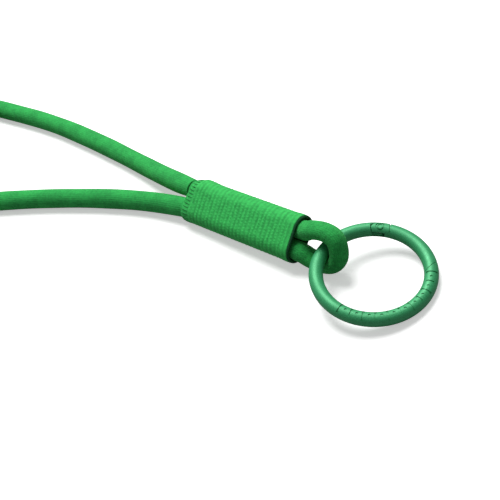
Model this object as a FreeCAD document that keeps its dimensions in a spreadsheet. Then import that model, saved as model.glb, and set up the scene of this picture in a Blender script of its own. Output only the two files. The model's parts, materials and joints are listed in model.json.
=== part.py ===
import FreeCAD, Part
import Sketcher
import math
import os

# A neck lanyard lying on a table: a soft round cord whose two legs leave a ribbed ribbon sleeve, and a
# sprung-gate ring held in the bight of the cord at the sleeve's other end.
# Millimetres. +Z is up, z = 0 is the table, +X runs from the cord legs to the ring. The origin is on the
# table, under the middle of the sleeve and ring together.

V = FreeCAD.Vector
doc = FreeCAD.newDocument("lanyard")

DIMENSIONS = [
    # the ring: a torus of round wire with a gate in it
    ("ring_radius", 14.5),         # middle of the wire
    ("ring_wire_radius", 1.85),
    ("ring_center_x", 24.5),
    ("ring_tilt", 11.13),          # the bight lifts the near side, the far side rests on the table
    ("hinge_angle", 114.8),        # from the ring's +X, seen from above
    ("hinge_inset", 0.2),          # the hinge pin sits this far inside the middle of the wire
    ("knuckle_radius", 2.35),
    ("knuckle_gap", 0.2),
    ("latch_angle", 36.5),
    ("latch_gap", 0.14),
    ("slot_width", 1.5),           # slot in the gate's knuckle, and the tongue that stands in it
    ("slot_reach", 2.4),
    ("slot_open", 1.35),           # the slot is open to the inside of the ring up to here
    ("slot_side", 1.2),            # past it a wall closes the slot, this far from the pin
    ("tongue_width", 1.3),
    ("tongue_radius", 1.25),
    ("lug_reach", 2.3),
    ("lug_floor", 0.9),
    ("pin_radius", 0.6),
    ("pin_clearance", 0.05),
    ("pin_length", 3.3),
    ("spring_wire_radius", 0.16),
    ("spring_coil_radius", 0.95),
    ("spring_pitch", 0.24),
    ("spring_leg", 1.9),
    ("line_width", 0.34),          # the lines cut round the hinge
    ("line_depth", 0.25),
    ("head_line_radius", 1.0),
    ("arc_line_radius", 3.3),
    ("arc_line_x", 0.9),
    ("arc_line_y", -1.2),
    ("cross_line_x", 2.6),
    ("cross_line_y", -1.5),
    ("mark_depth", 0.2),           # the bars and dots engraved in the wire
    ("mark_width", 0.48),
    ("mark_long", 2.8),
    ("mark_short", 1.9),
    ("mark_pitch", 6.0),           # degrees round the ring
    ("marks_start", 28.0),
    # the cord
    ("cord_radius", 3.0),          # free
    ("gripped_radius", 2.7),       # squeezed, in the sleeve and round the ring
    ("bight_gap", 0.2),
    ("bight_lean", 16.0),          # the bight's plane leans this far from upright
    ("bight_corner", 9.0),         # radius of the bends between the sleeve and the bight
    ("leg_offset", 2.85),          # half the distance between the two cords in the sleeve
    # the sleeve
    ("sleeve_length", 41.4),
    ("sleeve_yaw", -3.7),
    ("sleeve_pitch", 1.9),
    ("sleeve_roll", 40.0),
    ("mouth_x", -40.1),            # middle of the sleeve's cord end
    ("mouth_y", 3.4),
    ("mouth_height", 5.8),
    ("lining_radius", 2.95),       # inside of the lining, round each cord
    ("lining_wall", 0.2),
    ("ribbon_wall", 0.6),
    ("hem_length", 1.7),
    ("hem_wall", 0.25),
    ("hem_inset", 0.5),
    ("splice_wall", 0.15),
    ("splice_length", 10.0),
    ("stitch_radius", 0.22),
    ("stitch_length", 1.5),
    ("stitch_pitch", 3.0),
    # the put-away length, wound into an oval hank
    ("hank_x", -185.0),
    ("hank_y", -8.0),
    ("hank_half", 20.0),           # half the length of its straight sides
    ("hank_inner_radius", 15.0),
    ("hank_outer_radius", 27.0),
    ("hank_height", 12.0),
    ("hank_base", 0.6),            # the strap passes under the hank
    ("hank_round", 2.8),
    ("tie_width", 8.0),
    ("tie_wall", 0.5),
    ("tie_clear", 0.1),
    ("tie_offset", -8.0),          # from the middle of the hank's side, away from the sleeve
]

sheet = doc.addObject("Spreadsheet::Sheet", "Dimensions")
for row, (alias, value) in enumerate(DIMENSIONS, start=1):
    sheet.set(f"A{row}", alias)
    sheet.set(f"B{row}", str(value))
    sheet.setAlias(f"B{row}", alias)
doc.recompute()

STITCHES = 12
MARKS = 21
MARK_PATTERN = ("long", "dot", "short", "dot")


def cell(alias):
    """The value of one driving dimension."""
    return float(getattr(sheet, alias))


def bind(obj, **sizes):
    """Bind properties of obj to expressions in the sheet's aliases, written as {alias}."""
    for prop, text in sizes.items():
        expression = text
        for alias, _ in DIMENSIONS:
            expression = expression.replace("{" + alias + "}", "Dimensions." + alias)
        obj.setExpression(prop, expression)
    return obj


def add(kind, name, **sizes):
    return bind(doc.addObject(kind, name), **sizes)


def boolean(kind, name, base, tool):
    obj = doc.addObject(kind, name)
    obj.Base = base
    obj.Tool = tool
    return obj


def fuse(name, *shapes):
    obj = doc.addObject("Part::MultiFuse", name)
    obj.Shapes = list(shapes)
    return obj


def common(name, *shapes):
    obj = doc.addObject("Part::MultiCommon", name)
    obj.Shapes = list(shapes)
    return obj


def turned(axis, degrees):
    return FreeCAD.Rotation(axis, degrees)


# ---------------------------------------------------------------- places

ring_rise = cell("ring_wire_radius") + cell("ring_radius") * math.sin(math.radians(cell("ring_tilt")))
RING_PLACE = FreeCAD.Placement(V(cell("ring_center_x"), 0, ring_rise), turned(V(0, 1, 0), cell("ring_tilt")))

pin_angle = math.radians(cell("hinge_angle"))
pin_reach = cell("ring_radius") - cell("hinge_inset")
# The hinge's own frame: X along the wire towards the gate, Y outwards, Z along the ring's axis.
HINGE_PLACE = FreeCAD.Placement(
    V(pin_reach * math.cos(pin_angle), pin_reach * math.sin(pin_angle), 0),
    turned(V(0, 0, 1), cell("hinge_angle") - 90),
)

# The sleeve's own frame: X along it from the cord end to the ring end, Y from the lower cord to the upper.
SLEEVE_PLACE = FreeCAD.Placement(
    V(cell("mouth_x"), cell("mouth_y"), cell("mouth_height")),
    turned(V(0, 0, 1), cell("sleeve_yaw"))
    * turned(V(0, 1, 0), -cell("sleeve_pitch"))
    * turned(V(1, 0, 0), cell("sleeve_roll")),
)


def in_sleeve(along, across):
    """A point on the sleeve's middle plane, in the part's frame."""
    return SLEEVE_PLACE.multVec(V(along, across, 0))


# ---------------------------------------------------------------- ring, gate, hinge

def wire_arc(name, start, sweep):
    """A stretch of the ring's round wire, from an angle, through a sweep."""
    arc = add("Part::Torus", name, Radius1="{ring_radius}", Radius2="{ring_wire_radius}", Angle3=sweep)
    arc.setExpression("Placement.Rotation.Angle", start)
    arc.Placement = FreeCAD.Placement(V(0, 0, 0), turned(V(0, 0, 1), 1.0))
    return arc


def at_hinge(obj, x, y, z):
    """Put obj in the hinge's frame."""
    obj.Placement = HINGE_PLACE.multiply(FreeCAD.Placement(V(x, y, z), FreeCAD.Rotation()))
    return obj


def hinge_cylinder(name, radius, height=6.0):
    """A cylinder about the hinge pin, centred on the wire."""
    return at_hinge(add("Part::Cylinder", name, Radius=radius, Height=str(height)), 0, 0, -height / 2)


def hinge_box(name, low, high):
    box = add("Part::Box", name)
    box.Length, box.Width, box.Height = (b - a for a, b in zip(low, high))
    return at_hinge(box, *low)


latch = math.radians(cell("latch_angle"))
pin_at = HINGE_PLACE.Base
latch_at = V(cell("ring_radius") * math.cos(latch), cell("ring_radius") * math.sin(latch), 0)
latch_reach = pin_at.distanceToPoint(latch_at)
half_gap = cell("latch_gap") / 2
slot_half = cell("slot_width") / 2
tongue_half = cell("tongue_width") / 2
FAR = 4.0                      # past the outside of the wire
SPRING_FLOOR = 0.06            # the tongue is cut down to here beside the spring


def make_marks():
    """What the engraving takes away: a row of plain bars and dots along the top of the wire."""
    cutters = []
    for number in range(MARKS):
        kind = MARK_PATTERN[number % len(MARK_PATTERN)]
        turn = turned(V(0, 0, 1), cell("marks_start") - number * cell("mark_pitch"))
        corner = V(cell("ring_radius"), 0, 0)
        if kind == "dot":
            mark = add("Part::Cylinder", f"mark_{number}", Radius="{mark_width} * 0.75", Height="{ring_radius}")
        else:
            mark = add("Part::Box", f"mark_{number}", Length="{mark_" + kind + "}", Width="{mark_width}",
                       Height="{ring_radius}")
            corner -= V(cell("mark_" + kind), cell("mark_width"), 0) / 2
        mark.Placement = FreeCAD.Placement(turn.multVec(corner), turn)
        cutters.append(mark)
    core = add("Part::Torus", "mark_floor", Radius1="{ring_radius}", Radius2="{ring_wire_radius} - {mark_depth}")
    return boolean("Part::Cut", "marks", fuse("mark_cutters", *cutters), core)


def make_ring_body():
    whole = wire_arc(
        "body_wire", "Dimensions.hinge_angle * 1deg",
        "368 - {hinge_angle} + {latch_angle}",
    )
    socket = hinge_cylinder("body_socket", "{knuckle_radius} + {knuckle_gap}")
    latch_disc = hinge_cylinder("latch_disc", str(latch_reach + half_gap))
    latch_side = hinge_box("latch_side", (cell("ring_radius") / 2, -30, -FAR), (30, FAR, FAR))
    latch_cut = common("latch_cut", latch_disc, latch_side)
    wire = boolean("Part::Cut", "body_cut", boolean("Part::Cut", "body_ended", whole, socket), latch_cut)

    # The tongue reaches from the body past the pin, and its outer lug stops the gate when it is shut.
    boss = hinge_cylinder("tongue_boss", "{tongue_radius}")
    web = hinge_box("tongue_web", (-FAR, -cell("tongue_radius"), -FAR), (0, cell("tongue_radius"), FAR))
    lug = hinge_box("tongue_lug", (-FAR, cell("lug_floor"), -FAR), (cell("lug_reach"), FAR, FAR))
    slab = hinge_box("tongue_slab", (-FAR, -FAR, -tongue_half), (FAR, FAR, tongue_half))
    near_wire = wire_arc("tongue_wire", "(Dimensions.hinge_angle - 12) * 1deg", "30")
    tongue = common("tongue", fuse("tongue_outline", boss, web, lug), slab, near_wire)
    body = fuse("body_with_tongue", wire, tongue)

    pin_hole = hinge_cylinder("tongue_hole", "{pin_radius} + {pin_clearance}")
    spring_room = hinge_cylinder("spring_room", "{spring_coil_radius} + 3 * {spring_wire_radius}")
    spring_room.Placement = HINGE_PLACE.multiply(FreeCAD.Placement(V(0, 0, SPRING_FLOOR), FreeCAD.Rotation()))
    leg_room = hinge_box(
        "spring_leg_room",
        (-cell("knuckle_radius") - 1.2, -cell("tongue_radius") - 0.1, SPRING_FLOOR),
        (0, -0.5, tongue_half + 0.1),
    )
    keep = hinge_box("spring_keep", (-FAR, -FAR, SPRING_FLOOR), (FAR, FAR, tongue_half + 0.1))
    room = fuse("spring_space", common("spring_well", spring_room, keep), leg_room)
    holes = fuse("body_holes", pin_hole, room, make_marks())
    return boolean("Part::Cut", "ring_body", body, holes)


def make_gate_lines():
    """Shallow lines on the gate's top: round the pin's head, along an arc, and across the wire."""
    parts = []
    arc_x, arc_y, cross_x = cell("arc_line_x"), cell("arc_line_y"), cell("cross_line_x")
    circles = (("head_line", "{head_line_radius}", 0, 0), ("arc_line", "{arc_line_radius}", arc_x, arc_y))
    for name, radius, x, y in circles:
        outer = add("Part::Cylinder", name + "_outer", Radius=radius + " + {line_width} / 2")
        inner = add("Part::Cylinder", name + "_inner", Radius=radius + " - {line_width} / 2")
        parts.append(boolean("Part::Cut", name, at_hinge(outer, x, y, 0), at_hinge(inner, x, y, 0)))
    left = hinge_box("arc_line_side", (-FAR, arc_y, 0), (arc_x, FAR, FAR))
    half = cell("line_width") / 2
    across = hinge_box("cross_line", (cross_x - half, cell("cross_line_y"), 0), (cross_x + half, FAR, FAR))
    lines = fuse("gate_line_cutters", parts[0], common("arc_line_kept", parts[1], left), across)
    core_radius = "{ring_wire_radius} - {line_depth}"
    core = add("Part::Torus", "line_floor", Radius1="{ring_radius}", Radius2=core_radius)
    return boolean("Part::Cut", "gate_lines", lines, core)


def make_ring_gate():
    sweep = "{hinge_angle} - {latch_angle} + 8"
    arc = wire_arc("gate_wire", "(Dimensions.latch_angle - 8) * 1deg", sweep)
    reach = hinge_cylinder("gate_reach", str(latch_reach - half_gap))
    knuckle_wire = wire_arc("knuckle_wire", "(Dimensions.hinge_angle - 1) * 1deg", "20")
    knuckle_disc = hinge_cylinder("knuckle_disc", "{knuckle_radius}")
    blank = fuse("gate_blank", common("gate_arc", arc, reach), common("knuckle", knuckle_wire, knuckle_disc))
    open_slot = hinge_box("gate_slot_open", (-FAR, -FAR, -slot_half), (cell("slot_open"), FAR, slot_half))
    deep_end = (cell("slot_reach"), FAR, slot_half)
    deep_slot = hinge_box("gate_slot_deep", (0, -cell("slot_side"), -slot_half), deep_end)
    pin_hole = hinge_cylinder("gate_hole", "{pin_radius}")
    holes = fuse("gate_holes", open_slot, deep_slot, pin_hole, make_gate_lines())
    return boolean("Part::Cut", "ring_gate", blank, holes)


def make_hinge_pin():
    pin = add("Part::Cylinder", "hinge_pin", Radius="{pin_radius}", Height="{pin_length}")
    return pin, FreeCAD.Placement(V(0, 0, -cell("pin_length") / 2), FreeCAD.Rotation())


def make_hinge_spring():
    """Two touching coils of wire round the pin, with a leg into the gate's slot and one into the body."""
    lowest = SPRING_FLOOR + cell("spring_wire_radius") + 0.02
    coils = []
    for turn in range(2):
        coil = add("Part::Torus", f"spring_coil_{turn}", Radius1="{spring_coil_radius}",
                   Radius2="{spring_wire_radius}")
        coil.Placement = FreeCAD.Placement(V(0, 0, lowest + turn * cell("spring_pitch")), FreeCAD.Rotation())
        coils.append(coil)
    legs = []
    for turn, side in ((0, -1), (1, 1)):
        leg = add("Part::Cylinder", f"spring_leg_{turn}", Radius="0.85 * {spring_wire_radius}",
                  Height="{spring_leg}")
        leg.Placement = FreeCAD.Placement(
            V(0, -cell("spring_coil_radius"), lowest + turn * cell("spring_pitch")),
            turned(V(0, 1, 0), 90 * side),
        )
        legs.append(leg)
    return fuse("hinge_spring", *coils, *legs)


# ---------------------------------------------------------------- sleeve

def origin_plane(body, role):
    return next(f for f in body.Origin.OriginFeatures if f.Role == role)


def stadium(sketch, half_alias, radius_text):
    """A closed outline of two half circles and two straights, its sizes bound to the sheet."""
    half, radius = cell(half_alias), 1.0
    first = sketch.GeometryCount
    quarter = math.pi / 2
    sketch.addGeometry(Part.ArcOfCircle(Part.Circle(V(half, 0, 0), V(0, 0, 1), radius), -quarter, quarter))
    sketch.addGeometry(Part.ArcOfCircle(Part.Circle(V(-half, 0, 0), V(0, 0, 1), radius), quarter, 3 * quarter))
    sketch.addGeometry(Part.LineSegment(V(half, radius, 0), V(-half, radius, 0)))
    sketch.addGeometry(Part.LineSegment(V(-half, -radius, 0), V(half, -radius, 0)))
    right, left, top, bottom = range(first, first + 4)
    for a, a_end, b, b_end in ((right, 2, top, 1), (top, 2, left, 1), (left, 2, bottom, 1), (bottom, 2, right, 1)):
        sketch.addConstraint(Sketcher.Constraint("Tangent", a, a_end, b, b_end))
    sketch.addConstraint(Sketcher.Constraint("Horizontal", top))
    sketch.addConstraint(Sketcher.Constraint("Horizontal", bottom))
    sketch.addConstraint(Sketcher.Constraint("Symmetric", right, 3, left, 3, -1, 1))
    spread = sketch.addConstraint(Sketcher.Constraint("Distance", left, 3, right, 3, 2 * half))
    size = sketch.addConstraint(Sketcher.Constraint("Radius", right, radius))
    bind(sketch, **{
        f"Constraints[{spread}]": "2 * {" + half_alias + "}",
        f"Constraints[{size}]": radius_text,
    })


def stadium_tube(name, inner_text, outer_text, length_text, start=0.0):
    """A tube of stadium section along the sleeve's X, starting at a distance from its cord end."""
    body = doc.addObject("PartDesign::Body", name)
    sketch = body.newObject("Sketcher::SketchObject", name + "_outline")
    sketch.AttachmentSupport = [(origin_plane(body, "YZ_Plane"), "")]
    sketch.MapMode = "FlatFace"
    doc.recompute()
    stadium(sketch, "leg_offset", outer_text)
    stadium(sketch, "leg_offset", inner_text)
    pad = body.newObject("PartDesign::Pad", name + "_pad")
    pad.Profile = sketch
    bind(pad, Length=length_text)
    body.Tip = pad
    return body, SLEEVE_PLACE.multiply(FreeCAD.Placement(V(start, 0, 0), FreeCAD.Rotation()))


def make_stitches(face):
    """A row of short stitches that holds the overlapped ribbon edge, on the side that faces the table."""
    threads = []
    spare = cell("sleeve_length") - (STITCHES - 1) * cell("stitch_pitch") - cell("stitch_length")
    for number in range(STITCHES):
        thread = add("Part::Cylinder", f"stitch_{number}", Radius="{stitch_radius}", Height="{stitch_length}")
        along = spare / 2 + number * cell("stitch_pitch")
        thread.Placement = FreeCAD.Placement(V(along, 0, face), turned(V(0, 1, 0), 90))
        threads.append(thread)
    group = doc.addObject("Part::Compound", "sleeve_stitches")
    group.Links = threads
    return group, SLEEVE_PLACE


def make_splice_wrap():
    outer = add("Part::Cylinder", "wrap_outside", Radius="{gripped_radius} + {splice_wall}",
                Height="{splice_length}")
    inner = add("Part::Cylinder", "wrap_inside", Radius="{gripped_radius}", Height="{splice_length}")
    wrap = boolean("Part::Cut", "splice_wrap", outer, inner)
    start = (cell("sleeve_length") - cell("splice_length")) / 2
    return wrap, SLEEVE_PLACE.multiply(
        FreeCAD.Placement(V(start, -cell("leg_offset"), 0), turned(V(0, 1, 0), 90))
    )


# ---------------------------------------------------------------- cord

def path_of(points, radii):
    """Straight runs through the points, joined by tangent arcs of the given radii. Returns the wire."""
    edges = []
    here = points[0]
    for before, corner, after, radius in zip(points, points[1:], points[2:], radii):
        into = (corner - before).normalize()
        out = (after - corner).normalize()
        turn = into.getAngle(out)
        back = radius * math.tan(turn / 2)
        start, end = corner - into * back, corner + out * back
        bisector = (out - into).normalize()
        middle = corner + bisector * (radius / math.cos(turn / 2) - radius)
        if here.distanceToPoint(start) > 1e-4:
            edges.append(Part.LineSegment(here, start).toShape())
        edges.append(Part.Arc(start, middle, end).toShape())
        here = end
    if here.distanceToPoint(points[-1]) > 1e-4:
        edges.append(Part.LineSegment(here, points[-1]).toShape())
    return Part.Wire(edges)


def open_radii(points):
    """The largest arc radius that each corner of a free cord's route has room for."""
    radii = []
    for before, corner, after in zip(points, points[1:], points[2:]):
        shorter = min(before.distanceToPoint(corner), corner.distanceToPoint(after))
        turn = (corner - before).getAngle(after - corner)
        radii.append(0.45 * shorter / math.tan(turn / 2))
    return radii


def tube(name, points, radii, radius):
    """A cord as a Part::Feature: a circle swept along straight runs and arcs."""
    path = path_of(points, radii)
    section = Part.Wire(Part.makeCircle(radius, points[0], points[1] - points[0]))
    solid = path.makePipeShell([section], True, False)
    expected = math.pi * radius ** 2 * path.Length
    print(f"{name}: length {path.Length:.1f} mm, radii", " ".join(f"{r:.0f}" for r in radii),
          f"volume {solid.Volume:.0f} of {expected:.0f}")
    feature = doc.addObject("Part::Feature", name)
    feature.Shape = solid
    return feature, path.Length


crossing = V(cell("ring_center_x") - cell("ring_radius") * math.cos(math.radians(cell("ring_tilt"))), 0,
             ring_rise + cell("ring_radius") * math.sin(math.radians(cell("ring_tilt"))))


def make_bight():
    """The cord from the splice, through the sleeve, round the ring and back to the sleeve's cord end."""
    reach = cell("ring_wire_radius") + cell("bight_gap") + cell("gripped_radius")
    lean = math.radians(cell("bight_lean"))
    radius = reach / math.cos(lean)
    upward = V(0, math.sin(lean), math.cos(lean)) * radius
    onward = V(radius, 0, 0)
    before = V(3.4, 0, 0)
    length, side = cell("sleeve_length"), cell("leg_offset")
    points = [
        in_sleeve(length / 2, -side),
        in_sleeve(length + 1.0, -side),
        crossing - upward - before,
        crossing - upward + onward,
        crossing + upward + onward,
        crossing + upward - before,
        in_sleeve(length + 1.0, side),
        in_sleeve(0, side),
    ]
    bend = cell("bight_corner")
    return tube("cord_bight", points, [bend, bend, radius, radius, bend, bend], cell("gripped_radius"))[0]


def make_tail():
    """The cord's other end, from the sleeve's mouth to the splice."""
    tail = add("Part::Cylinder", "cord_tail", Radius="{gripped_radius}", Height="{sleeve_length} / 2")
    return tail, SLEEVE_PLACE.multiply(FreeCAD.Placement(V(0, -cell("leg_offset"), 0), turned(V(0, 1, 0), 90)))


LYING = cell("cord_radius")
UPPER_TURN = LYING + 2 * cell("cord_radius")

# The two free legs, from the sleeve to the hank: points chosen along the cord.
LOWER_LEG = [
    in_sleeve(0, -cell("leg_offset")),
    V(-53.5, 0.6, LYING),
    V(-75.5, -6.8, LYING),
    V(-99.5, -17.0, LYING),
    V(-121.0, -28.3, LYING),
    V(-143.0, -33.8, 5.6),
    V(-165.0, -32.0, UPPER_TURN),
]
UPPER_LEG = [
    in_sleeve(0, cell("leg_offset")),
    V(-51.5, 7.9, 5.6),
    V(-67.5, 11.6, LYING),
    V(-90.5, 15.0, LYING),
    V(-117.5, 17.6, LYING),
    V(-142.0, 17.2, LYING),
    V(-165.0, 16.0, LYING),
]


def make_hank():
    """The outer shape of the put-away length: an oval ring of rounded section."""
    body = doc.addObject("PartDesign::Body", "cord_hank")
    sketch = body.newObject("Sketcher::SketchObject", "hank_outline")
    sketch.AttachmentSupport = [(origin_plane(body, "XY_Plane"), "")]
    sketch.MapMode = "FlatFace"
    doc.recompute()
    stadium(sketch, "hank_half", "{hank_outer_radius}")
    stadium(sketch, "hank_half", "{hank_inner_radius}")
    pad = body.newObject("PartDesign::Pad", "hank_pad")
    pad.Profile = sketch
    bind(pad, Length="{hank_height}")
    body.Tip = pad
    doc.recompute()
    rounded = body.newObject("PartDesign::Fillet", "hank_rounded")
    outlines = [f"Edge{i + 1}" for i, e in enumerate(pad.Shape.Edges) if e.Length > 2 * cell("hank_height")]
    rounded.Base = (pad, outlines)
    bind(rounded, Radius="{hank_round}")
    body.Tip = rounded
    return body, FreeCAD.Placement(V(cell("hank_x"), cell("hank_y"), cell("hank_base")), FreeCAD.Rotation())


def make_tie():
    """A flat strap closed round one side of the hank, its underside on the table."""
    section = "{hank_outer_radius} - {hank_inner_radius} + 2 * {tie_clear}"
    outer = add("Part::Box", "tie_outside", Length="{tie_width}", Width=section + " + 2 * {tie_wall}",
                Height="{hank_height} + 2 * ({tie_wall} + {tie_clear})")
    inner = add("Part::Box", "tie_inside", Length="{tie_width}", Width=section,
                Height="{hank_height} + 2 * {tie_clear}")
    wall, side = cell("tie_wall"), cell("hank_inner_radius") - cell("tie_clear")
    outer.Placement = FreeCAD.Placement(V(0, side - wall, 0), FreeCAD.Rotation())
    inner.Placement = FreeCAD.Placement(V(0, side, wall), FreeCAD.Rotation())
    tie = boolean("Part::Cut", "hank_tie", outer, inner)
    start = cell("hank_x") + cell("tie_offset") - cell("tie_width") / 2
    return tie, FreeCAD.Placement(V(start, cell("hank_y"), 0), FreeCAD.Rotation())


# ---------------------------------------------------------------- assembly

nodes = {}


def place(obj, placement):
    """Set a finished sub-part's placement and enter it under its own label."""
    obj.Placement = placement
    obj.Label = obj.Name
    nodes[obj.Name] = obj


place(make_ring_body(), RING_PLACE)
place(make_ring_gate(), RING_PLACE)
pin, pin_place = make_hinge_pin()
place(pin, RING_PLACE.multiply(HINGE_PLACE).multiply(pin_place))
place(make_hinge_spring(), RING_PLACE.multiply(HINGE_PLACE))

lining = stadium_tube("sleeve_lining", "{lining_radius}", "{lining_radius} + {lining_wall}", "{sleeve_length}")
place(*lining)
ribbon_inside = "{lining_radius} + {lining_wall}"
ribbon_outside = "{lining_radius} + {lining_wall} + {ribbon_wall}"
place(*stadium_tube("sleeve_ribbon", ribbon_inside, ribbon_outside, "{sleeve_length}"))
hem_starts = {
    "sleeve_hem_cord_end": cell("hem_inset"),
    "sleeve_hem_ring_end": cell("sleeve_length") - cell("hem_inset") - cell("hem_length"),
}
for label, start in hem_starts.items():
    place(*stadium_tube(label, ribbon_outside, ribbon_outside + " + {hem_wall}", "{hem_length}", start))
ribbon_face = cell("lining_radius") + cell("lining_wall") + cell("ribbon_wall")
place(*make_stitches(-ribbon_face - cell("stitch_radius")))
place(*make_splice_wrap())

place(make_bight(), FreeCAD.Placement())
place(*make_tail())
lower, lower_length = tube("cord_lower_leg", LOWER_LEG, open_radii(LOWER_LEG), cell("cord_radius"))
upper, upper_length = tube("cord_upper_leg", UPPER_LEG, open_radii(UPPER_LEG), cell("cord_radius"))
place(lower, FreeCAD.Placement())
place(upper, FreeCAD.Placement())
place(*make_hank())
place(*make_tie())

doc.recompute()
for obj in doc.Objects:
    if "Invalid" in obj.State or "Error" in obj.State:
        raise RuntimeError(f"{obj.Name}: {obj.State}")
for name, obj in nodes.items():
    if obj.Shape.isNull() or not obj.Shape.isValid() or not obj.Shape.Solids:
        raise RuntimeError(f"{name}: no valid solid")

os.makedirs("parts", exist_ok=True)
for name, obj in nodes.items():
    obj.Shape.exportStep(f"parts/{name}.step")
    box = obj.Shape.BoundBox
    print(f"{name}: {len(obj.Shape.Solids)} solid, {obj.Shape.Volume:.2f} mm3,",
          f"x {box.XMin:.2f}..{box.XMax:.2f} y {box.YMin:.2f}..{box.YMax:.2f} z {box.ZMin:.2f}..{box.ZMax:.2f}")
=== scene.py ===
"""Looks of a cord lanyard: knitted cord, ribbed ribbon sleeve, metal ring with a hinged gate.

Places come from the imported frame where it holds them. Sizes are in metres. Mesh UVs are in
millimetres, with U round a piece and V along it, so that each weave has its real scale.
"""
import json
import math
import bpy
import numpy as np
from mathutils import Matrix, Vector


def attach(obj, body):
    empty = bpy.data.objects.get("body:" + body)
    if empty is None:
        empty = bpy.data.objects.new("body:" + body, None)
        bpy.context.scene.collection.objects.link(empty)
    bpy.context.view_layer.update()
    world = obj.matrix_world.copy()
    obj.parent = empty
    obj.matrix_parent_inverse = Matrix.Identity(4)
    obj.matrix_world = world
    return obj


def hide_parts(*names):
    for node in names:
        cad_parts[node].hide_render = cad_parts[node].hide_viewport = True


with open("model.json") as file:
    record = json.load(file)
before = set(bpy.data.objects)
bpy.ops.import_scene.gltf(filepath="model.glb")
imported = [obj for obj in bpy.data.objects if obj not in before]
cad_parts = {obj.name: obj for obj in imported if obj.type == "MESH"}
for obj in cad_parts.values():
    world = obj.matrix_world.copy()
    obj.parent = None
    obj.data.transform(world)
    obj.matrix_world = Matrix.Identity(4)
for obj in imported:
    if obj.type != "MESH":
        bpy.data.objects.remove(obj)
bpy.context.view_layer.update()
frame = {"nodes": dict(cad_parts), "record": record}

MM = 0.001
TURN = 2 * math.pi

mounts = {m["name"]: m for m in frame["record"]["mounts"]}
RING_CENTRE = np.array(mounts["ring_eye"]["pos_m"])
RING_AXIS = np.array(mounts["ring_eye"]["axis"])
HANK_CENTRE = np.array(mounts["neck_loop"]["pos_m"])

CORD_RADIUS = 3.0 * MM
GRIPPED_RADIUS = 2.7 * MM              # in the sleeve and round the ring, where it is pulled tight
RING_RADIUS = 14.5 * MM                # to the middle of the ring's wire

# The sleeve's own frame: X from its cord end to its ring end, Y from the lower cord to the upper
SLEEVE_LENGTH = 41.4 * MM
LEG_OFFSET = 2.85 * MM                 # from the sleeve's axis to each cord's
LINING_INSIDE = 2.95 * MM              # these three are radii about a cord's axis
LINING_OUTSIDE = 3.15 * MM
RIBBON_OUTSIDE = 3.75 * MM
SLEEVE = (
    Matrix.Translation((-40.1 * MM, 3.4 * MM, 5.8 * MM))
    @ Matrix.Rotation(math.radians(-3.7), 4, "Z")
    @ Matrix.Rotation(math.radians(-1.9), 4, "Y")
    @ Matrix.Rotation(math.radians(40), 4, "X")
)


def in_sleeve(along, across, out=0.0):
    """A point given in the sleeve's frame."""
    return np.array(SLEEVE @ Vector((along, across, out)))


def smooth(value, low, high):
    """From 0 at low to 1 at high, level at both."""
    t = np.clip((value - low) / (high - low), 0, 1)
    return t * t * (3 - 2 * t)


# ---------------------------------------------------------------- meshes

def collection():
    return bpy.context.scene.collection


def skin(name, rows, u, v, joined=False, capped=False):
    """A mesh through rows of points, each closed on itself. joined: the last row meets the
    first. capped: the first and last rows are closed with a flat face."""
    count, around = rows.shape[:2]
    steps = np.arange(count if joined else count - 1)
    i, j = np.meshgrid(steps, np.arange(around), indexing="ij")
    i2, j2 = (i + 1) % count, (j + 1) % around
    quads = [i * around + j, i * around + j2, i2 * around + j2, i2 * around + j]
    faces = np.stack(quads, -1).reshape(-1, 4).tolist()
    if capped:
        faces += [list(range(around))[::-1], list(range((count - 1) * around, count * around))]
    mesh = bpy.data.meshes.new(name)
    mesh.from_pydata(rows.reshape(-1, 3).tolist(), [], faces)
    corner_u = np.stack([u[j], u[j + 1], u[j + 1], u[j]], -1).ravel()
    corner_v = np.stack([v[i], v[i], v[i + 1], v[i + 1]], -1).ravel()
    flat = np.zeros(2 * len(mesh.loops))
    flat[0:2 * corner_u.size:2] = corner_u
    flat[1:2 * corner_u.size:2] = corner_v
    mesh.uv_layers.new(name="UVMap").data.foreach_set("uv", flat)
    mesh.shade_smooth()
    if capped:
        for face in list(mesh.polygons)[-2:]:
            face.use_smooth = False
    piece = bpy.data.objects.new(name, mesh)
    collection().objects.link(piece)
    return piece


def unit(vectors):
    return vectors / np.linalg.norm(vectors, axis=-1, keepdims=True)


def spline_points(controls, resolution=24):
    """Points along the smooth NURBS line that has these control points."""
    curve = bpy.data.curves.new("route", "CURVE")
    curve.dimensions = "3D"
    curve.resolution_u = resolution
    spline = curve.splines.new("NURBS")
    spline.points.add(len(controls) - 1)
    for point, place in zip(spline.points, controls):
        point.co = (*place, 1.0)
    spline.order_u = 3
    spline.use_endpoint_u = True
    holder = bpy.data.objects.new("route", curve)
    collection().objects.link(holder)
    mesh = bpy.data.meshes.new_from_object(holder)
    points = np.array([vertex.co for vertex in mesh.vertices])
    bpy.data.objects.remove(holder)
    bpy.data.meshes.remove(mesh)
    return points


def lengths_along(points):
    """The distance of each point from the line's start."""
    return np.concatenate([[0], np.cumsum(np.linalg.norm(np.diff(points, axis=0), axis=1))])


def along_line(points, stations):
    """Points of a line at these distances from its start."""
    at = lengths_along(points)
    return np.stack([np.interp(stations, at, points[:, k]) for k in range(3)], axis=-1)


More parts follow.
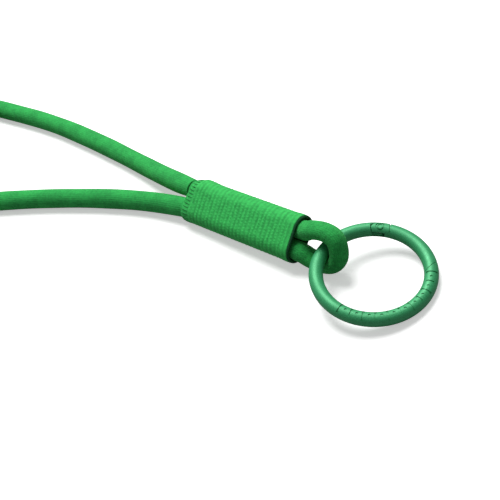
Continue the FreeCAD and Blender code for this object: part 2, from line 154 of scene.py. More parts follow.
def tube(name, line, stations, reference, section, around):
    """A cord's mesh. section(s, angle) gives its size along the two axes of its round: towards
    the middle of its bend, and towards reference."""
    centre = along_line(line, stations)
    ahead = unit(np.gradient(centre, axis=0))
    up = unit(reference - (ahead @ reference)[:, None] * ahead)
    side = np.cross(up, ahead)
    s, a = np.meshgrid(stations, np.arange(around) * TURN / around, indexing="ij")
    wide, high = section(s, a)
    rows = (
        centre[:, None, :]
        + side[:, None, :] * (wide * np.cos(a))[..., None]
        + up[:, None, :] * (high * np.sin(a))[..., None]
    )
    u = np.arange(around + 1) / around * TURN * CORD_RADIUS / MM
    return skin(name, rows, u, stations / MM, capped=True)


# ---------------------------------------------------------------- materials

class Nodes:
    """A material's node tree, with short calls for the nodes used here."""

    def __init__(self, name):
        self.material = bpy.data.materials.new(name)
        self.material.use_nodes = True
        self.tree = self.material.node_tree
        self.shader = self.tree.nodes["Principled BSDF"]

    def node(self, kind, **settings):
        made = self.tree.nodes.new(kind)
        for key, value in settings.items():
            setattr(made, key, value)
        return made

    def join(self, source, socket):
        """Links an output to the socket, or sets the socket to a plain value."""
        if hasattr(source, "is_output"):
            self.tree.links.new(source, socket)
        else:
            socket.default_value = source

    def math(self, operation, *values):
        made = self.node("ShaderNodeMath", operation=operation)
        for value, socket in zip(values, made.inputs):
            self.join(value, socket)
        return made.outputs[0]

    def step(self, value, low, high, to_low=0.0, to_high=1.0):
        """value from low to high becomes to_low to to_high, smoothly."""
        made = self.node("ShaderNodeMapRange", interpolation_type="SMOOTHSTEP")
        for source, socket in zip((value, low, high, to_low, to_high), made.inputs):
            self.join(source, socket)
        return made.outputs[0]

    def uv(self):
        where = self.node("ShaderNodeUVMap", uv_map="UVMap")
        parts = self.node("ShaderNodeSeparateXYZ")
        self.join(where.outputs[0], parts.inputs[0])
        return parts.outputs[0], parts.outputs[1]

    def noise(self, scale, detail):
        """Noise in the object's own space; scale is in waves per metre."""
        made = self.node("ShaderNodeTexNoise")
        self.join(scale, made.inputs["Scale"])
        self.join(detail, made.inputs["Detail"])
        self.join(self.node("ShaderNodeTexCoord").outputs["Object"], made.inputs["Vector"])
        return made.outputs["Fac"]

    def mix(self, share, first, second):
        made = self.node("ShaderNodeMix", data_type="RGBA")
        color_sockets = (made.inputs[0], made.inputs[6], made.inputs[7])
        for source, socket in zip((share, first, second), color_sockets):
            self.join(source, socket)
        return made.outputs[2]

    def bump(self, height, distance):
        made = self.node("ShaderNodeBump")
        self.join(1.0, made.inputs["Strength"])
        self.join(distance, made.inputs["Distance"])
        self.join(height, made.inputs["Height"])
        return made.outputs[0]

    def finish(self, color, roughness, normal, **sockets):
        self.join(color, self.shader.inputs["Base Color"])
        self.join(roughness, self.shader.inputs["Roughness"])
        self.join(normal, self.shader.inputs["Normal"])
        for name, value in sockets.items():
            self.shader.inputs[name.replace("_", " ")].default_value = value
        return self.material


CORD_LIGHT = (0.036, 0.50, 0.100, 1)
CORD_DARK = (0.015, 0.27, 0.056, 1)
RIBBON_LIGHT = (0.040, 0.53, 0.105, 1)
RIBBON_DARK = (0.018, 0.28, 0.058, 1)
# dark cloth of the lining, strap and wrap; at the sleeve's ring end it is painted shade on the ribbon's
# end face
LINING_AND_RIM_SHADE_LIGHT = (0.008, 0.085, 0.030, 1)
LINING_AND_RIM_SHADE_DARK = (0.004, 0.045, 0.016, 1)
THREAD_LIGHT = (0.05, 0.50, 0.12, 1)
THREAD_DARK = (0.02, 0.28, 0.07, 1)
PAINT_LIGHT = (0.050, 0.43, 0.170, 1)
PAINT_DARK = (0.024, 0.30, 0.105, 1)
PAINT_RUBBED = (0.10, 0.52, 0.24, 1)
STEEL_LIGHT = (0.62, 0.62, 0.63, 1)
STEEL_DARK = (0.42, 0.42, 0.44, 1)
GREEN_SHEEN = (0.3, 1.0, 0.4, 1)


def knit_material(name):
    """Fine knit: columns of V stitches, with one row of small needle holes along the cord."""
    wale, course = 0.62, 0.46          # a stitch's width and length, in mm of UV
    slope = 1.6                        # how far a V's arms lean, in courses to a wale
    row_at, hole_pitch = 14.6, 0.95    # the needle holes, in mm of UV
    m = Nodes(name)
    u, v = m.uv()
    column = m.math("FRACT", m.math("DIVIDE", u, wale))
    lean = m.math("ABSOLUTE", m.math("SUBTRACT", column, 0.5))
    phase = m.math("ADD", m.math("DIVIDE", v, course), m.math("MULTIPLY", lean, slope))
    yarn = m.math("SINE", m.math("MULTIPLY", phase, TURN))
    gap = m.math("COSINE", m.math("MULTIPLY", column, TURN))
    stitch = m.math("SUBTRACT", m.math("MULTIPLY", yarn, 0.5), m.math("MULTIPLY", gap, 0.35))
    fuzz = m.noise(2600, 4.0)
    height = m.math("ADD", stitch, m.math("MULTIPLY", fuzz, 1.2))

    from_row = m.math("ABSOLUTE", m.math("SUBTRACT", u, row_at))
    across = m.step(from_row, 0.12, 0.42, 1.0, 0.0)
    along = m.step(m.math("SINE", m.math("MULTIPLY", v, TURN / hole_pitch)), 0.1, 0.9)
    hole = m.math("MULTIPLY", across, along)
    height = m.math("SUBTRACT", height, m.math("MULTIPLY", hole, 1.5))

    patches = m.step(m.noise(260, 3.0), 0.35, 0.7, 0.0, 0.3)
    specks = m.step(m.noise(1500, 3.0), 0.35, 0.65, 0.0, 0.3)
    # painted shade: the colour is darker in the low gaps between the stitches; the patches and specks
    # are random tone of the yarn
    shade = m.math("ADD", m.step(stitch, -0.9, 0.9, 0.0, 0.45), patches)
    shade = m.math("ADD", shade, specks)
    # painted shade in the needle holes, which are drawn darker
    shade = m.math("SUBTRACT", shade, m.math("MULTIPLY", hole, 0.5))
    color = m.mix(m.step(shade, 0.0, 1.0), CORD_DARK, CORD_LIGHT)
    return m.finish(color, m.step(fuzz, 0.3, 0.7, 0.78, 0.95), m.bump(height, 0.06 * MM),
                    Sheen_Weight=0.25, Sheen_Roughness=0.45, Sheen_Tint=GREEN_SHEEN,
                    Specular_IOR_Level=0.2)


def ribbon_material(name):
    """Threads across the ribs, which are in the mesh, and painted shade, a darker colour, in the
    valleys between them.
    """
    thread_pitch = 0.3                 # in mm of UV
    m = Nodes(name)
    u, v = m.uv()
    rib = m.math("FRACT", m.math("DIVIDE", v, RIB_PITCH / MM))
    valley = m.math("COSINE", m.math("MULTIPLY", rib, TURN))
    thread = m.math("SINE", m.math("MULTIPLY", u, TURN / thread_pitch))
    fuzz = m.noise(3000, 4.0)
    height = m.math("ADD", m.math("MULTIPLY", thread, 0.35), fuzz)
    patches = m.step(m.noise(800, 3.0), 0.3, 0.7, 0.0, 0.4)
    # painted shade: darker in the valleys between the ribs; the patches are random tone
    shade = m.math("ADD", m.step(valley, -1.0, 1.0, 0.6, 0.35), patches)
    color = m.mix(m.step(shade, 0.0, 1.0), RIBBON_DARK, RIBBON_LIGHT)
    return m.finish(color, m.step(fuzz, 0.3, 0.7, 0.75, 0.92), m.bump(height, 0.05 * MM),
                    Sheen_Weight=0.25, Sheen_Roughness=0.45, Sheen_Tint=GREEN_SHEEN,
                    Specular_IOR_Level=0.25)


def plain_fabric(name, dark, light, thread=0.35):
    """Plain weave, its threads this many mm of UV apart."""
    m = Nodes(name)
    warp, weft = [m.math("SINE", m.math("MULTIPLY", part, TURN / thread)) for part in m.uv()]
    fuzz = m.noise(2500, 4.0)
    height = m.math("ADD", m.math("MULTIPLY", warp, weft), fuzz)
    # painted shade: the colour is darker in the dips of the weave, between the threads; the fuzz adds
    # random tone
    color = m.mix(m.step(height, -0.6, 1.4), dark, light)
    return m.finish(color, m.step(fuzz, 0.3, 0.7, 0.8, 0.95), m.bump(height, 0.05 * MM),
                    Sheen_Weight=0.12, Sheen_Tint=GREEN_SHEEN, Specular_IOR_Level=0.15)


def ring_paint(name):
    """Satin metallic paint: fine flake, soft patches and a few rubbed spots."""
    m = Nodes(name)
    flake = m.noise(5200, 2.0)
    patch = m.noise(160, 4.0)
    rub = m.step(m.noise(420, 6.0), 0.62, 0.74)
    color = m.mix(m.step(flake, 0.3, 0.7), PAINT_DARK, PAINT_LIGHT)
    color = m.mix(m.math("MULTIPLY", rub, 0.25), color, PAINT_RUBBED)
    patches = m.step(patch, 0.3, 0.7, 0.50, 0.60)
    rough = m.math("ADD", patches, m.math("MULTIPLY", rub, -0.05))
    normal = m.bump(m.math("ADD", m.math("MULTIPLY", flake, 0.5), patch), 0.012 * MM)
    return m.finish(color, rough, normal, Metallic=0.3, Coat_Weight=0.25, Coat_Roughness=0.48)


def steel(name):
    m = Nodes(name)
    drawn = m.noise(3000, 3.0)
    return m.finish(m.mix(drawn, STEEL_DARK, STEEL_LIGHT), m.step(drawn, 0.3, 0.7, 0.28, 0.42),
                    m.bump(drawn, 0.01 * MM), Metallic=1.0)


def dress(piece, material):
    piece.data.materials.clear()
    piece.data.materials.append(material)


# ---------------------------------------------------------------- the free cord

LYING = CORD_RADIUS                    # the height of its middle on the table
HANK_HALF = 20 * MM                    # half of the hank's straight sides
HANK_OUTER = 24 * MM                   # from its long axis to the middle of the outer strands
HANK_INNER = 18 * MM
SIDE_STEPS = 2                         # control points along each straight side
FOLD_STEPS = 6                         # and round each fold
QUARTERS = 15                          # sides and folds that the cord passes before it leaves
GOES_INSIDE = (3.5, 4.0)               # in quarters: from the outer round to the inner
CLIMBS = (7.2, 7.75)                   # on to the two rounds that lie on the table
COMES_OUTSIDE = (10.75, 11.4)          # from the inner round to the outer
WANDER = 0.25 * MM
STRAP_SHARE = 0.7                      # how far along the far side the strap is
STRAP_LIFT = 0.6 * MM                  # the strap passes under the hank

UPPER_LEG = [
    in_sleeve(0, LEG_OFFSET),
    (-0.0515, 0.0079, 0.0056),
    (-0.0675, 0.0118, LYING),
    (-0.0905, 0.0153, LYING),
    (-0.1175, 0.0179, LYING),
    (-0.1420, 0.0172, LYING),
]
LOWER_LEG = [
    in_sleeve(0, -LEG_OFFSET),
    (-0.0535, 0.0004, LYING),
    (-0.0755, -0.0064, LYING),
    (-0.0995, -0.0164, LYING),
    (-0.1210, -0.0277, LYING),
    (-0.1430, -0.0338, 0.0056),
]


def hank_point(quarter, share):
    """One control point. Quarters go far side, left fold, near side, right fold, and so on:
    an outer round and an inner one on the table, then an inner and an outer one on those."""
    at = quarter + share
    inward = smooth(at, *GOES_INSIDE) - smooth(at, *COMES_OUTSIDE)
    half_width = HANK_OUTER + (HANK_INNER - HANK_OUTER) * inward
    half_width += WANDER * math.sin(2.3 * at)
    far = 1 if quarter % 4 < 2 else -1
    if quarter % 2:
        if share > 0:
            half_width /= math.cos(math.pi / 2 / FOLD_STEPS)
        angle = math.radians(far * 90 + 180 * share)
        x = -far * HANK_HALF + half_width * math.cos(angle)
        y = half_width * math.sin(angle)
    else:
        x, y = far * HANK_HALF * (1 - 2 * share), far * half_width
    from_strap = (at - STRAP_SHARE + 2) % 4 - 2
    rise = STRAP_LIFT * math.exp(-(from_strap / 0.5) ** 2)
    climb = 2 * CORD_RADIUS * smooth(at, *CLIMBS)
    return HANK_CENTRE[0] + x, HANK_CENTRE[1] + y, LYING + rise + climb


def hank_points():
    points = []
    for quarter in range(QUARTERS):
        steps = FOLD_STEPS if quarter % 2 else SIDE_STEPS
        points += [hank_point(quarter, step / steps) for step in range(steps)]
    return points + [hank_point(QUARTERS - 1, 1.0)]


def make_neck_cord(material):
    """The neck loop from one end in the sleeve to the other: a leg, the hank, the other leg."""
    line = spline_points(UPPER_LEG + hank_points() + LOWER_LEG[::-1])
    length = lengths_along(line)[-1]
    fine, coarse, shown = 0.4 * MM, 0.65 * MM, 125 * MM
    stations = np.concatenate([
        np.arange(0, shown, fine),
        np.arange(shown, length - shown, coarse),
        np.arange(length - shown, length, fine),
        [length],
    ])

    def section(s, a):
        """Not quite even, squeezed as it leaves the sleeve, a little flat underneath."""
        waver = 0.012 * np.sin(s / (7.3 * MM)) + 0.008 * np.sin(s / (3.1 * MM) + 2 * a)
        squeeze = 0.08 * np.exp(-(s / (6 * MM)) ** 2)
        size = CORD_RADIUS * (1 + waver - squeeze)
        return size, size * (1 - 0.03 * (np.sin(a) < 0) * np.sin(a) ** 2)

    cord = tube("neck_cord", line, stations, np.array([0, 0, 1.0]), section, around=44)
    dress(cord, material)
    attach(cord, "lanyard")
    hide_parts("cord_upper_leg", "cord_lower_leg", "cord_hank")
    return cord, line, length


# ---------------------------------------------------------------- the bight round the ring

BEND = 4.35 * MM                       # from the middle of the ring's wire to the cord's
BEND_LEAN = math.radians(16)           # how far the bend's top leans to the far side
BEND_STEP = 36                         # degrees between its control points
BEFORE_RING = 4.5 * MM
PAST_SLEEVE = 1.5 * MM
SPREAD = 0.3 * MM


def make_bight(material):
    """The cord inside the sleeve and round the ring, flattened where it bends over the wire."""
    onward = np.array([1.0, 0, 0])
    upward = np.array([0, math.sin(BEND_LEAN), math.cos(BEND_LEAN)])
    onward_in_ring = unit(np.cross(np.cross(RING_AXIS, onward), RING_AXIS))
    crossing = RING_CENTRE - RING_RADIUS * onward_in_ring
    plane = np.cross(onward, upward)
    corner = BEND / math.cos(math.radians(BEND_STEP / 2))

    def round_ring(degrees, loose):
        """A control point of the bend, loose times as far from the wire as a tight one."""
        angle = math.radians(degrees)
        return crossing + corner * loose * (math.sin(angle) * upward + math.cos(angle) * onward)

    # tight below the wire, and a loose shoulder above it
    looseness = (1, 1, 1, 1.02, 1.24, 1.2)
    route = [
        in_sleeve(SLEEVE_LENGTH / 2, -LEG_OFFSET),
        in_sleeve(SLEEVE_LENGTH * 0.8, -LEG_OFFSET),
        in_sleeve(SLEEVE_LENGTH + PAST_SLEEVE, -LEG_OFFSET),
        crossing - upward * BEND - onward * BEFORE_RING,
        *(round_ring(-90 + BEND_STEP * number, loose) for number, loose in enumerate(looseness)),
        crossing + upward * (BEND + SPREAD) - onward * BEFORE_RING,
        in_sleeve(SLEEVE_LENGTH + PAST_SLEEVE, LEG_OFFSET - SPREAD),
        in_sleeve(SLEEVE_LENGTH * 0.8, LEG_OFFSET),
        in_sleeve(0, LEG_OFFSET),
    ]
    line = spline_points(route, resolution=32)
    length = lengths_along(line)[-1]
    stations = np.linspace(0, length, round(length / (0.16 * MM)))
    near = np.linalg.norm(along_line(line, stations) - crossing, axis=1)
    press = np.interp(near, [BEND, BEND + 4 * MM], [1.0, 0.0])

    def section(s, a):
        """Pressed flat against the wire, with fine ridges across that are strongest there."""
        tight = np.interp(s, stations, press)
        ridge = np.sin(s * TURN / (0.62 * MM) + 1.5 * np.sin(3 * a))
        ridge = 0.018 * MM * ridge * (0.4 + 0.6 * tight)
        wide = GRIPPED_RADIUS * (1 - 0.13 * tight) + ridge
        high = GRIPPED_RADIUS * (1 + 0.05 * tight) + ridge
        return wide, high

    bight = tube("bight_cord", line, stations, plane, section, around=64)
    dress(bight, material)
    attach(bight, "lanyard")
    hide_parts("cord_bight")

    def even_section(s, a):
        size = np.full_like(s, GRIPPED_RADIUS)
        return size, size

    tail_line = np.array([in_sleeve(0, -LEG_OFFSET), in_sleeve(SLEEVE_LENGTH / 2, -LEG_OFFSET)])
    tail_stations = np.linspace(0, SLEEVE_LENGTH / 2, 60)
    tail = tube("tail_cord", tail_line, tail_stations, plane, even_section, around=48)
    dress(tail, material)
    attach(tail, "lanyard")
    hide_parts("cord_tail")


# ---------------------------------------------------------------- the sleeve

RIB_PITCH = 1.43 * MM
RIB_HEIGHT = 0.085 * MM
KNOT_PITCH = 0.86                      # along a rib, in mm of UV
KNOT_HEIGHT = 0.022 * MM
HEM_AT_CORDS = 3.2 * MM                # the hems' lengths
HEM_AT_RING = 2.7 * MM
RIBS_START = 0.3 * MM                  # the ribs rise to their height over this length
HEM_SUNK = 0.50 * MM                   # the cord end's hem is drawn in by its stitches
HEM_SWELL = 0.32 * MM                  # and the ribbon stands out just behind it
END_ROUND = 0.3 * MM                   # how far the ribbon's rounded ends reach
END_STEPS = 5                          # points round each of them
ROUND_SAMPLES = 280                    # points round the ribbon
PERIMETER = 4 * LEG_OFFSET + TURN * RIBBON_OUTSIDE
SLANT = 1.5 * MM                       # the far side of the sleeve starts this much later
SLANT_FADES = 12 * MM


def stadium(samples):
    """The outline round two cords side by side, as middle points and outward directions. It
    starts on the side turned to the table."""
    half = samples // 2
    share = 2 * LEG_OFFSET / (2 * LEG_OFFSET + math.pi * RIBBON_OUTSIDE)
    straight = round(half * share)
    middles, outs = [], []
    for side in (1, -1):
        for number in range(straight):
            middles.append((side * LEG_OFFSET * (2 * number / straight - 1), 0))
            outs.append((0, -side))
        for number in range(half - straight):
            angle = math.pi * (number / (half - straight) - side / 2)
            middles.append((side * LEG_OFFSET, 0))
            outs.append((math.cos(angle), math.sin(angle)))
    return np.array(middles), np.array(outs)


def far_share(across):
    """From 0 at the sleeve's near side, by the lower cord, to 1 at its far side."""
    reach = LEG_OFFSET + RIBBON_OUTSIDE
    return np.clip((across + reach) / (2 * reach), 0, 1) ** 1.5


def to_frame(local):
    """Points given in the sleeve's frame. The cord end is cut aslant, shorter on the far side."""
    along = local[..., 0]
    fade = np.clip(1 - along / SLANT_FADES, 0, 1) ** 2
    local = local.copy()
    local[..., 0] = along + SLANT * far_share(local[..., 1]) * fade
    return local @ np.array(SLEEVE.to_3x3()).T + np.array(SLEEVE.to_translation())


def sleeve_skin(name, profile, relief=None, samples=ROUND_SAMPLES):
    """A closed band round the two cords. profile holds (along, radius) points of its section,
    and relief(along, u) is added to the radius."""
    middles, outs = stadium(samples)
    profile = np.array(profile)
    along, radius = profile[:, 0][:, None], profile[:, 1][:, None]
    u = np.arange(samples + 1) / samples * PERIMETER / MM
    size = radius + (relief(along, u[None, :-1]) if relief else 0)
    across = middles[None, :, 0] + outs[None, :, 0] * size
    out = middles[None, :, 1] + outs[None, :, 1] * size
    local = np.stack([np.broadcast_to(along, across.shape), across, out], axis=-1)
    v = np.concatenate([profile[:, 0], profile[:1, 0]]) / MM
    return skin(name, to_frame(local), u, v, joined=True)


def ribs(along, u):
    """Height of the ribs and of the small knots along each, level in the hems."""
    sway = 0.10 * np.sin(u * TURN / 35.0 + 1.0) + 0.05 * np.sin(u * TURN / 9.0 + along / MM)
    phase = along / RIB_PITCH + sway
    number = np.floor(phase)
    ridge = 1 - np.abs(np.cos(math.pi * phase)) ** 2.2
    drift = 0.9 * np.sin(u * 0.71 + 2.1 * number)
    knot = np.cos(u * TURN / KNOT_PITCH + math.pi * number + drift)
    uneven = 0.75 + 0.25 * np.sin(u * 0.55 + 1.7 * number)
    between = np.clip((along - HEM_AT_CORDS) / RIBS_START, 0, 1)
    between = between * np.clip((SLEEVE_LENGTH - HEM_AT_RING - along) / RIBS_START, 0, 1)
    return between * (RIB_HEIGHT * uneven * (ridge - 0.6) + KNOT_HEIGHT * ridge * knot)


def hem_sunk(x, far):
    """How far the ribbon's face is drawn in, at a distance from the cord end and a far_share."""
    in_hem = smooth(x, 0, HEM_AT_CORDS)
    past_hem = smooth(x, HEM_AT_CORDS - 0.8 * MM, HEM_AT_CORDS + 0.3 * MM)
    sunk = HEM_SUNK * (1 - 0.45 * in_hem - 0.55 * past_hem)
    swell = np.exp(-((x - 4.5 * MM) / (3.5 * MM)) ** 2)
    swell = swell * smooth(x, HEM_AT_CORDS - 1.5 * MM, HEM_AT_CORDS + 0.5 * MM)
    return sunk * (0.25 + 0.75 * far) - HEM_SWELL * swell * far


def rounded_end(x, direction, low, high):
    """Points of a half round from high to low, or from low to high on the other end."""
    middle, half = (high + low) / 2, (high - low) / 2
    angles = direction * np.linspace(math.pi / 2, -math.pi / 2, END_STEPS + 2)[1:-1]
    return [(x + direction * half * math.cos(a), middle + half * math.sin(a)) for a in angles]


def make_ribbon(material):
    low = LINING_OUTSIDE + 0.03 * MM
    start, stop = END_ROUND, SLEEVE_LENGTH - END_ROUND
    outside = [(x, RIBBON_OUTSIDE) for x in np.linspace(start, stop, 250)]
    inside = [(x, low) for x in np.linspace(stop, start, 14)]
    at_ring = rounded_end(stop, 1, low, RIBBON_OUTSIDE)
    at_cords = rounded_end(start, -1, low, RIBBON_OUTSIDE)
    middles, outs = stadium(ROUND_SAMPLES)
    far = far_share(middles[:, 0] + outs[:, 0] * RIBBON_OUTSIDE)[None, :]

    def relief(along, u):
        """All of it on the face, a part on the cord end's edge and none elsewhere."""
        height = ribs(along, u) - hem_sunk(along, far)
        height[len(outside):-END_STEPS] = 0
        height[-END_STEPS:] *= np.linspace(0.2, 0.8, END_STEPS)[:, None]
        return height

    sleeve = sleeve_skin("ribbon_sleeve", outside + at_ring + inside + at_cords, relief)
    dress(sleeve, material)
    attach(sleeve, "lanyard")
    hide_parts("sleeve_ribbon")
    return sleeve


def make_lining_with_shade_lip(material):
    """A thin tube under the ribbon, rolled out over the ribbon's edge at the ring end, where its dark
    lip is painted shade on the ribbon's end face.
    """
    lip = 0.42 * MM
    lip_at = SLEEVE_LENGTH + 0.14 * MM
    inner = LINING_INSIDE + 0.02 * MM
    outer = [(x, LINING_OUTSIDE) for x in np.linspace(0, lip_at - lip, 12)]
    # painted shade: this dark roll covers the ribbon's end face, which is only in shade
    roll = [
        (lip_at + lip * math.cos(a), inner + lip + lip * math.sin(a))
        for a in np.linspace(2.6, -1.57, 10)
    ]
    inside = [(x, inner) for x in np.linspace(lip_at, 0, 12)[1:]]
    lining = sleeve_skin("lining_tube", outer + roll + inside, samples=140)
    dress(lining, material)
    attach(lining, "lanyard")
    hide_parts("sleeve_lining")


def thread_run(points, radius):
    """Rows of points of a small thread that narrows at both ends, where it dives in."""
    steps, sides = 9, 6
    line = along_line(points, np.linspace(0, lengths_along(points)[-1], steps))
    ahead = unit(np.gradient(line, axis=0))
    side = unit(np.cross(ahead, [0.31, 0.45, 0.84]))
    up = np.cross(ahead, side)
    angle = np.arange(sides) * TURN / sides
    swell = radius * np.sin(np.linspace(0.15, math.pi - 0.15, steps)) ** 0.4
    return (
        line[:, None, :]
        + side[:, None, :] * (swell[:, None] * np.cos(angle))[..., None]
        + up[:, None, :] * (swell[:, None] * np.sin(angle))[..., None]
    )


def thread_group(name, runs, radius, material, node):
    """Many short threads as one piece."""
    pieces = []
    for number, points in enumerate(runs):
        rows = thread_run(points, radius)
        count, around = rows.shape[:2]
        u = np.arange(around + 1) / around * 0.6
        v = np.linspace(0, 1.6, count)
        pieces.append(skin(f"{name}_{number}", rows, u, v, capped=True))
    group = pieces[0]
    with bpy.context.temp_override(active_object=group, selected_editable_objects=pieces):
        bpy.ops.object.join()
    group.name = name
    dress(group, material)
    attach(group, "lanyard")
    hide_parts(node)


def surface_point(along, u, radius, outline):
    """A point on the sleeve at this share u of the way round."""
    middles, outs = outline
    at = (u % 1.0) * len(middles)
    low = int(at)
    share = at - low
    high = (low + 1) % len(middles)
    middle = middles[low] * (1 - share) + middles[high] * share
    out = outs[low] * (1 - share) + outs[high] * share
    return np.array([along, *(middle + out * radius)])


def make_cord_end_hem(material):
    """Overedge stitches across the hem, close together like the rungs of a ladder."""
    outline = stadium(ROUND_SAMPLES)
    rungs = 34
    lean = 0.25 / rungs                # how far a rung's end is from its start, the way round
    # along the sleeve and above the ribbon in mm, and the share of the lean
    rung = [(0.12, -0.2, 0), (0.25, 0.0, 0.1), (0.7, 0.05, 0.3), (2.6, 0.05, 0.9), (3.1, -0.15, 1)]
    runs = []
    for where in np.arange(rungs) / rungs:
        far = far_share(surface_point(0, where, RIBBON_OUTSIDE, outline)[1])
        runs.append(to_frame(np.array([
            surface_point(
                x * MM, where + lean * t, RIBBON_OUTSIDE - hem_sunk(x * MM, far) + h * MM, outline
            )
            for x, h, t in rung
        ])))
    thread_group("hem_rungs", runs, 0.15 * MM, material, "sleeve_hem_cord_end")


def make_ring_end_hem(material):
    """The ribbon's edge folded back on itself, a smooth low band."""
    start, stop = SLEEVE_LENGTH - HEM_AT_RING, SLEEVE_LENGTH - 0.15 * MM
    middle, half = (start + stop) / 2, (stop - start) / 2
    face, proud, depth = RIBBON_OUTSIDE - 0.02 * MM, 0.16 * MM, 0.25 * MM
    top = [
        (middle - half * math.cos(a), face + proud * math.sin(a) ** 0.35)
        for a in np.linspace(0, math.pi, 22)
    ]
    under = [(x, face - depth) for x in np.linspace(stop, start, 5)]

    def relief(along, u):
        """A groove that small stitches pull in along the fold's edge."""
        pull = 0.03 * MM * np.cos(u * TURN / 0.9)
        edge = np.exp(-((along - start - 0.5 * MM) / (0.2 * MM)) ** 2)
        return (pull - 0.05 * MM) * edge * (np.arange(len(along))[:, None] < len(top))

    band = sleeve_skin("ring_end_fold", top + under, relief)
    dress(band, material)
    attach(band, "lanyard")
    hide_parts("sleeve_hem_ring_end")


def make_seam(material):
    """The row of stitches that closes the ribbon's overlap, on the face turned to the table."""
    outline = stadium(ROUND_SAMPLES)
    middle = LEG_OFFSET / PERIMETER    # the middle of that face, as a share of the way round
    face = RIBBON_OUTSIDE + 0.02 * MM
    stitches, pitch, length = 12, 3.0 * MM, 1.9 * MM
    first = (SLEEVE_LENGTH - (stitches - 1) * pitch - length) / 2
    # the share of the stitch's length, and the height above the ribbon in mm
    stitch = [(0, -0.25), (0.12, 0.08), (0.5, 0.14), (0.88, 0.08), (1.0, -0.25)]
    runs = [
        to_frame(np.array([
            surface_point(first + number * pitch + length * t, middle, face + h * MM, outline)
            for t, h in stitch
        ]))
        for number in range(stitches)
    ]
    thread_group("seam_stitches", runs, 0.2 * MM, material, "sleeve_stitches")


# ---------------------------------------------------------------- the strap round the hank

def strap_path(half, wall):
    """Points round a square with rounded corners and the way out at each, and the length. The
    end laps over the start."""
    corner, lap, steps = 2.6 * MM, 7 * MM, 150
    straight = half - corner
    round_length = 8 * straight + TURN * corner
    path, out = [], []
    for number in range(steps + 1):
        at = (number / steps) * (round_length + lap)
        side, rest = divmod(at % round_length, round_length / 4)
        if rest < 2 * straight:
            y, z, angle = -straight + rest, -half, -math.pi / 2
        else:
            angle = -math.pi / 2 + (rest - 2 * straight) / corner
            y, z = straight + corner * math.cos(angle), -straight + corner * math.sin(angle)
        turn = math.pi / 2 * (side + 2)    # two sides on, so that the lap is on top
        angle += turn
        y, z = y * math.cos(turn) - z * math.sin(turn), y * math.sin(turn) + z * math.cos(turn)
        lift = 1.15 * wall * smooth(at, round_length - 5 * MM, round_length + 1 * MM)
        path.append((y + lift * math.cos(angle), z + lift * math.sin(angle)))
        out.append((math.cos(angle), math.sin(angle)))
    return np.array(path), np.array(out), round_length + lap


def strap_section(wide, wall):
    """A band's section: flat, with rounded edges."""
    radius = wall / 2
    right, left = [
        [
            (side * (wide / 2 - radius) + radius * math.cos(a), radius + radius * math.sin(a))
            for a in np.radians(np.linspace(start, start + 180, 7))
        ]
        for side, start in ((1, -90), (-1, 90))
    ]
    over = [(x, wall) for x in np.linspace(right[-1][0], left[0][0], 14)[1:-1]]
    under = [(x, 0.0) for x in np.linspace(left[-1][0], right[0][0], 14)[1:-1]]
    return np.array(right + over + left + under)


def make_strap(material):
    """A hook-and-loop strap round one side of the hank, its end lapped over on top."""
    wide, wall = 8 * MM, 0.5 * MM
    middle_x = HANK_CENTRE[0] + HANK_HALF * (1 - 2 * STRAP_SHARE)
    middle_y = HANK_CENTRE[1] + (HANK_OUTER + HANK_INNER) / 2
    middle_z = LYING + STRAP_LIFT + CORD_RADIUS
    half = (HANK_OUTER - HANK_INNER) / 2 + CORD_RADIUS + 0.15 * MM
    path, out, length = strap_path(half, wall)
    section = strap_section(wide, wall)
    rows = np.empty((len(path), len(section), 3))
    rows[..., 0] = middle_x + section[None, :, 0]
    rows[..., 1] = middle_y + path[:, None, 0] + out[:, None, 0] * section[None, :, 1]
    rows[..., 2] = middle_z + path[:, None, 1] + out[:, None, 1] * section[None, :, 1]
    u = np.concatenate([section[:, 0], section[:1, 0]]) / MM
    v = np.linspace(0, length / MM, len(path))
    strap = skin("hank_strap", rows, u, v, capped=True)
    dress(strap, material)
    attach(strap, "lanyard")
    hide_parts("hank_tie")
    return strap


# ---------------------------------------------------------------- floor, light, camera

FLOOR_LIGHT = (0.90, 0.90, 0.90, 1)
FLOOR_SHADE = (0.86, 0.86, 0.86, 1)
FLOOR_UNSEEN = (0.30, 0.30, 0.30, 1)   # what the floor throws back on the object
FLOOR_GLOW = 0.45                      # for the camera only, so that the floor is near white
FLOOR_HALF = 3.0
WORLD_STRENGTH = 0.20
WHITE = (1, 1, 1, 1)


def make_stage():
    m = Nodes("floor")
    grain = m.noise(90, 4.0)
    seen = m.node("ShaderNodeLightPath").outputs["Is Camera Ray"]
    color = m.mix(seen, FLOOR_UNSEEN, m.mix(grain, FLOOR_SHADE, FLOOR_LIGHT))
    m.join(m.math("MULTIPLY", seen, FLOOR_GLOW), m.shader.inputs["Emission Strength"])
    m.finish(color, m.step(grain, 0.3, 0.7, 0.7, 0.8), m.bump(grain, 0.02 * MM),
             Specular_IOR_Level=0.2, Emission_Color=WHITE)
    mesh = bpy.data.meshes.new("floor")
    corners = [(sx * FLOOR_HALF, sy * FLOOR_HALF, 0) for sx, sy in ((-1, -1), (1, -1), (1, 1), (-1, 1))]
    mesh.from_pydata(corners, [], [(0, 1, 2, 3)])
    floor = bpy.data.objects.new("floor", mesh)
    collection().objects.link(floor)
    mesh.materials.append(m.material)


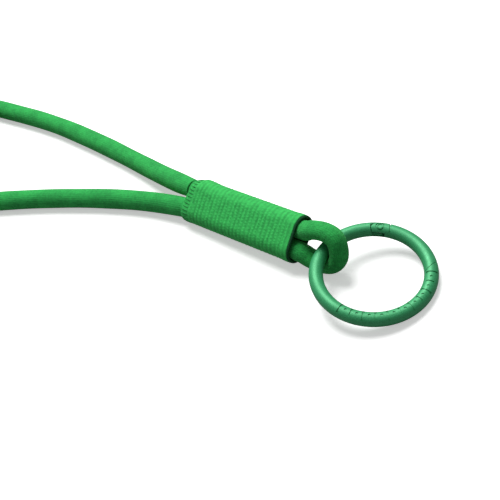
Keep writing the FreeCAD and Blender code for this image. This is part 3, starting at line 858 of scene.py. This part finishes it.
def area_light(name, place, target, size, power):
    light = bpy.data.lights.new(name, "AREA")
    light.shape = "DISK"
    light.size = size
    light.energy = power
    lamp = bpy.data.objects.new(name, light)
    lamp.location = place
    lamp.rotation_mode = "QUATERNION"
    lamp.rotation_quaternion = (Vector(target) - Vector(place)).to_track_quat("-Z", "Y")
    collection().objects.link(lamp)


def make_light():
    world = bpy.data.worlds.new("studio")
    world.use_nodes = True
    background = world.node_tree.nodes["Background"]
    background.inputs["Color"].default_value = WHITE
    background.inputs["Strength"].default_value = WORLD_STRENGTH
    bpy.context.scene.world = world
    area_light("overhead", place=(-0.33, 0.24, 0.72), target=(-0.02, 0, 0), size=0.6, power=9.0)
    bpy.context.scene.view_settings.view_transform = "Standard"


def make_camera():
    """Looks down at the sleeve from the ring's side, a little tilted."""
    target = Vector((-11.50 * MM, -5.97 * MM, 4.47 * MM))
    bearing, pitch, tilt = math.radians(140.88), math.radians(41.61), math.radians(-19.70)
    distance = 270.6 * MM
    level = math.cos(pitch)
    look = Vector((math.cos(bearing) * level, math.sin(bearing) * level, -math.sin(pitch)))
    data = bpy.data.cameras.new("camera")
    data.sensor_width = 36
    data.lens = 72
    data.clip_start = 0.01
    camera = bpy.data.objects.new("camera", data)
    turn = look.to_track_quat("-Z", "Y").to_matrix().to_4x4() @ Matrix.Rotation(tilt, 4, "Z")
    camera.matrix_world = Matrix.Translation(target - look * distance) @ turn
    collection().objects.link(camera)
    bpy.context.scene.camera = camera


# ---------------------------------------------------------------- assembly

make_camera()
make_stage()
make_light()

knit = knit_material("knit_cord")
ribbon = ribbon_material("ribbed_ribbon")
dark_cloth_and_rim_shade = plain_fabric("dark_cloth_and_rim_shade", LINING_AND_RIM_SHADE_DARK, LINING_AND_RIM_SHADE_LIGHT)
thread = plain_fabric("thread", THREAD_DARK, THREAD_LIGHT, 0.2)
paint = ring_paint("ring_paint")

neck_cord, line, length = make_neck_cord(knit)
make_bight(knit)
sleeve = make_ribbon(ribbon)
make_lining_with_shade_lip(dark_cloth_and_rim_shade)
make_cord_end_hem(thread)
make_ring_end_hem(ribbon)
make_seam(thread)
strap = make_strap(dark_cloth_and_rim_shade)
for node in ("ring_body", "ring_gate", "hinge_pin"):
    dress(frame["nodes"][node], paint)
dress(frame["nodes"]["hinge_spring"], steel("spring_wire"))
dress(frame["nodes"]["splice_wrap"], dark_cloth_and_rim_shade)
